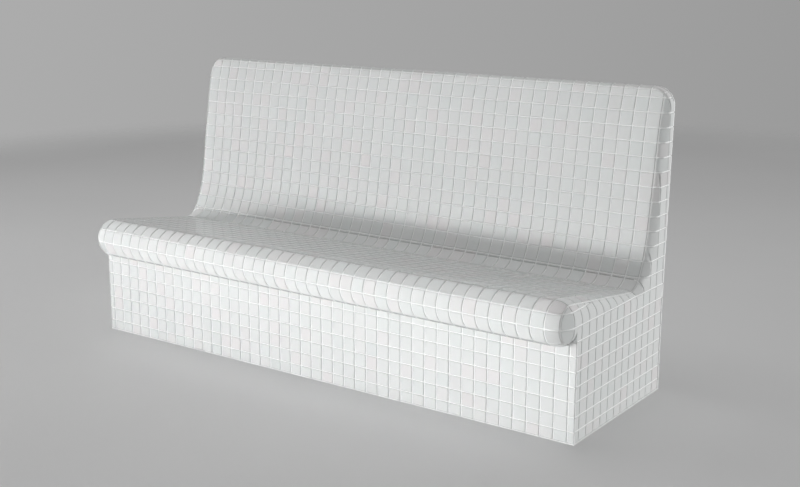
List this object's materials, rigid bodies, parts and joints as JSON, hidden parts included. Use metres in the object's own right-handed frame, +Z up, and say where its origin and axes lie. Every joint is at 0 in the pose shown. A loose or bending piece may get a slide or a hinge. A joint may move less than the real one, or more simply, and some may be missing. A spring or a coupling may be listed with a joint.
{
  "type": "restaurant booth bench",
  "caption": "Freestanding restaurant booth bench, a rounded seat and high leaning back on a box plinth, clad all over in small square white glazed mosaic tiles.",
  "frame": {"origin": "centre of the bench's footprint box, on the floor", "axes": "+X along the bench to the right as seen by someone facing it, +Y towards the rear of the bench, +Z up"},
  "size_m": [2.15, 0.7498, 1.076],
  "materials": {
    "mosaic": "gloss white glaze, with near-white joints",
    "base_coat": "matt grey reinforced mortar",
    "backer_board": "matt grey cement-faced board",
    "foam": "matt pale blue rigid foam",
    "plywood": "sanded birch plywood",
    "softwood": "planed softwood",
    "zinc_steel": "zinc-plated steel",
    "sealant": "smooth off-white sealant"
  },
  "bodies": {
    "root": {"back_coat": "base_coat", "back_core": "foam", "back_facing_board": "plywood", "back_mosaic": "mosaic", "back_rail": "plywood", "back_rear_board": "backer_board", "back_rear_mosaic": "mosaic", "back_top_board": "plywood", "cove_joint": "sealant", "deck_staples": "zinc_steel", "floor_bead": "sealant", "frame_rib_1": "plywood", "frame_rib_2": "plywood", "frame_rib_3": "plywood", "frame_rib_4": "plywood", "frame_rib_5": "plywood", "frame_rib_6": "plywood", "front_deck_rail": "softwood", "front_sole_rail": "softwood", "left_back_closer": "backer_board", "nose_bead": "sealant", "plinth_left_board": "backer_board", "plinth_left_mosaic": "mosaic", "plinth_rear_board": "backer_board", "plinth_rear_mosaic": "mosaic", "plinth_right_board": "backer_board", "plinth_right_mosaic": "mosaic", "rear_deck_rail": "softwood", "rear_sole_rail": "softwood", "rib_angles": "zinc_steel", "right_back_closer": "backer_board", "riser_board": "backer_board", "riser_mosaic": "mosaic", "seat_coat": "base_coat", "seat_core": "foam", "seat_deck": "plywood", "seat_mosaic": "mosaic"}
  },
  "joints": []
}
